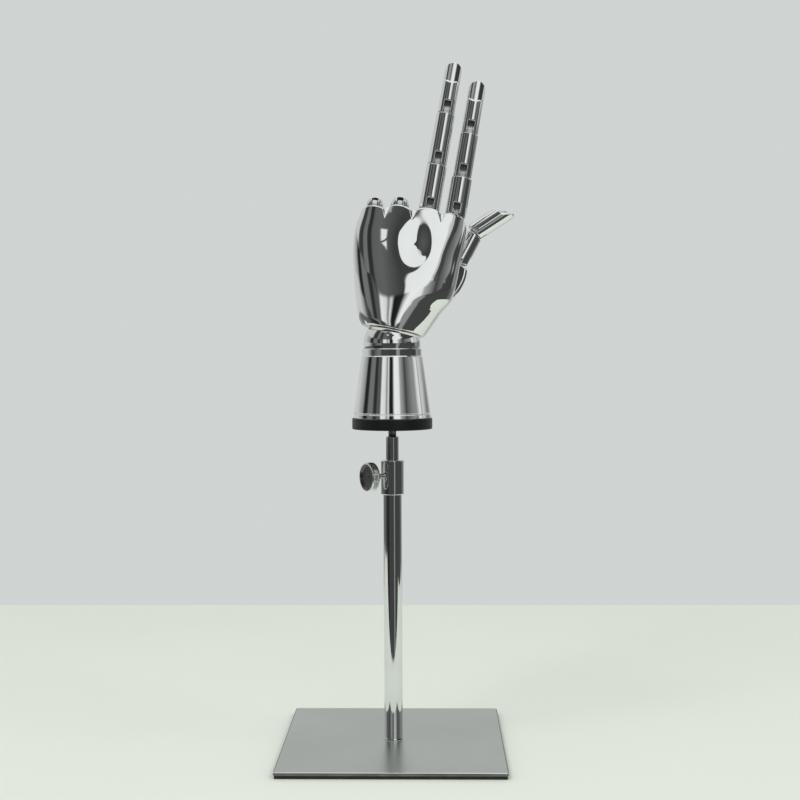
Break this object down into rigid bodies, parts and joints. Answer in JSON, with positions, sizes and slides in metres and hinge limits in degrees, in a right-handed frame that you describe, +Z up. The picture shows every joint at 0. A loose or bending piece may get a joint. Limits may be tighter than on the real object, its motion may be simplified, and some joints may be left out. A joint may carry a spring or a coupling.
{
  "type": "jointed display hand on a pole stand",
  "caption": "Mirror-plated jointed left hand on a tapered forearm, held by a height-adjustable clamped pole on a square plate; poses fingers, thumb and wrist to show jewellery.",
  "frame": {"origin": "centre of the base pad's underside, on the pole's axis", "axes": "+Z up along the pole; the back of the hand faces -Y; the thumb points to +X"},
  "size_m": [0.2023, 0.19, 0.5948],
  "materials": {
    "plated_hand": "mirror chrome plating on plastic",
    "plated_steel": "polished chrome",
    "satin_steel": "satin",
    "plain_steel": "bright",
    "black_disc": "satin black",
    "black_screw": "blackened",
    "rubber_pad": "matt",
    "brass_insert": "machined",
    "nylon": "matt"
  },
  "bodies": {
    "stand": {"base_pad": "rubber_pad", "base_plate": "satin_steel", "base_screw": "plain_steel", "tube_plug": "plain_steel", "outer_tube": "plated_steel", "clamp_collar": "plated_steel"},
    "clamp_tip": {"clamp_tip": "nylon"},
    "clamp_screw": {"clamp_stud": "plain_steel", "clamp_knob": "plated_steel"},
    "rod": {"inner_rod": "plated_steel", "rod_stud": "plain_steel"},
    "forearm": {"base_disc": "black_disc", "threaded_insert": "brass_insert", "forearm_shell": "plated_hand", "disc_screw_1": "black_screw", "disc_screw_2": "black_screw", "disc_screw_3": "black_screw"},
    "wrist_core": {"wrist_spring": "plain_steel", "spring_crossbar": "plain_steel"},
    "wrist_ball": {"wrist_ball": "plated_hand"},
    "palm": {"palm": "plated_hand", "wrist_eye_bolt": "plain_steel", "thumb_pivot_screw": "plain_steel"},
    "index_proximal": {"index_proximal": "plated_hand", "index_proximal_pin": "plain_steel"},
    "index_middle": {"index_middle": "plated_hand", "index_middle_pin": "plain_steel"},
    "index_distal": {"index_distal": "plated_hand", "index_distal_pin": "plain_steel"},
    "middle_proximal": {"middle_proximal": "plated_hand", "middle_proximal_pin": "plain_steel"},
    "middle_middle": {"middle_middle": "plated_hand", "middle_middle_pin": "plain_steel"},
    "middle_distal": {"middle_distal": "plated_hand", "middle_distal_pin": "plain_steel"},
    "ring_proximal": {"ring_proximal": "plated_hand", "ring_proximal_pin": "plain_steel"},
    "ring_middle": {"ring_middle": "plated_hand", "ring_middle_pin": "plain_steel"},
    "ring_distal": {"ring_distal": "plated_hand", "ring_distal_pin": "plain_steel"},
    "pinky_proximal": {"pinky_proximal": "plated_hand", "pinky_proximal_pin": "plain_steel"},
    "pinky_middle": {"pinky_middle": "plated_hand", "pinky_middle_pin": "plain_steel"},
    "pinky_distal": {"pinky_distal": "plated_hand", "pinky_distal_pin": "plain_steel"},
    "thumb_base": {"thumb_base": "plated_hand"},
    "thumb_proximal": {"thumb_proximal": "plated_hand", "thumb_proximal_pin": "plain_steel"},
    "thumb_distal": {"thumb_distal": "plated_hand", "thumb_distal_pin": "plain_steel"}
  },
  "joints": [
    {"name": "height_slide", "type": "slide", "parent": "stand", "child": "rod", "axis": [0, 0, 1], "range_m": [-0.02, 0.135]},
    {"name": "hand_swivel", "type": "hinge", "parent": "rod", "child": "forearm", "pos_m": [0, 0, 0.2762], "axis": [0, 0, 1], "continuous": true},
    {"name": "wrist_turn", "type": "hinge", "parent": "forearm", "child": "wrist_core", "pos_m": [0, 0, 0.3491], "axis": [0, 0, 1], "range_deg": [-90, 90]},
    {"name": "wrist_tilt", "type": "hinge", "parent": "wrist_core", "child": "wrist_ball", "pos_m": [0, 0, 0.3491], "axis": [0, 1, 0], "range_deg": [-30, 14]},
    {"name": "wrist_flex", "type": "hinge", "parent": "wrist_ball", "child": "palm", "pos_m": [0, 0, 0.3491], "axis": [0.9903, 0, -0.1392], "range_deg": [-17, 27]},
    {"name": "index_knuckle_bend", "type": "hinge", "parent": "palm", "child": "index_proximal", "pos_m": [0.05562, 0.0105, 0.4625], "axis": [-0.9851, 0.0029, 0.1718], "range_deg": [0, 82]},
    {"name": "index_middle_bend", "type": "hinge", "parent": "index_proximal", "child": "index_middle", "pos_m": [0.06149, 0.01348, 0.49607], "axis": [-0.9851, 0.0029, 0.1718], "range_deg": [0, 80]},
    {"name": "index_tip_bend", "type": "hinge", "parent": "index_middle", "child": "index_distal", "pos_m": [0.06819, 0.01689, 0.53444], "axis": [-0.9851, 0.0029, 0.1718], "range_deg": [0, 30]},
    {"name": "middle_knuckle_bend", "type": "hinge", "parent": "palm", "child": "middle_proximal", "pos_m": [0.03269, 0.01059, 0.46673], "axis": [-0.9845, 0.0032, 0.1752], "range_deg": [0, 82]},
    {"name": "middle_middle_bend", "type": "hinge", "parent": "middle_proximal", "child": "middle_middle", "pos_m": [0.03989, 0.01418, 0.50714], "axis": [-0.9845, 0.0032, 0.1752], "range_deg": [0, 80]},
    {"name": "middle_tip_bend", "type": "hinge", "parent": "middle_middle", "child": "middle_distal", "pos_m": [0.04792, 0.01818, 0.55215], "axis": [-0.9845, 0.0032, 0.1752], "range_deg": [0, 30]},
    {"name": "ring_knuckle_bend", "type": "hinge", "parent": "palm", "child": "ring_proximal", "pos_m": [0.00703, 0.01052, 0.46953], "axis": [-0.9903, 0, 0.1392], "range_deg": [-78, 4]},
    {"name": "ring_middle_bend", "type": "hinge", "parent": "ring_proximal", "child": "ring_middle", "pos_m": [0.00767, 0.04774, 0.47406], "axis": [-0.9903, 0, 0.1392], "range_deg": [-76, 4]},
    {"name": "ring_tip_bend", "type": "hinge", "parent": "ring_middle", "child": "ring_distal", "pos_m": [0.00221, 0.06279, 0.43523], "axis": [-0.9903, 0, 0.1392], "range_deg": [-24, 6]},
    {"name": "pinky_knuckle_bend", "type": "hinge", "parent": "palm", "child": "pinky_proximal", "pos_m": [-0.01473, 0.01028, 0.46988], "axis": [-0.9903, 0, 0.1392], "range_deg": [-78, 4]},
    {"name": "pinky_middle_bend", "type": "hinge", "parent": "pinky_proximal", "child": "pinky_middle", "pos_m": [-0.01423, 0.04006, 0.4735], "axis": [-0.9903, 0, 0.1392], "range_deg": [-76, 4]},
    {"name": "pinky_tip_bend", "type": "hinge", "parent": "pinky_middle", "child": "pinky_distal", "pos_m": [-0.01851, 0.05189, 0.44299], "axis": [-0.9903, 0, 0.1392], "range_deg": [-24, 6]},
    {"name": "thumb_swing", "type": "hinge", "parent": "palm", "child": "thumb_base", "pos_m": [0.04347, 0.01233, 0.39259], "axis": [-0.0121, 0.9962, -0.0863], "range_deg": [-10, 15]},
    {"name": "thumb_bend", "type": "hinge", "parent": "thumb_base", "child": "thumb_proximal", "pos_m": [0.05967, 0.02412, 0.42213], "axis": [-0.0121, 0.9962, -0.0863], "range_deg": [0, 22]},
    {"name": "thumb_tip_bend", "type": "hinge", "parent": "thumb_proximal", "child": "thumb_distal", "pos_m": [0.07374, 0.02658, 0.44851], "axis": [-0.0121, 0.9962, -0.0863], "range_deg": [-29, 2]},
    {"name": "clamp_travel", "type": "slide", "parent": "stand", "child": "clamp_tip", "axis": [-0.848, -0.5299, 0], "range_m": [0, 0.0024]},
    {"name": "clamp_turn", "type": "hinge", "parent": "clamp_tip", "child": "clamp_screw", "pos_m": [0, 0, 0.2354], "axis": [-0.848, -0.5299, 0], "range_deg": [0, 1080]}
  ],
  "couplings": [
    {"joint": "clamp_travel", "follows": "clamp_turn", "m_per_rad": 0.0001273}
  ]
}
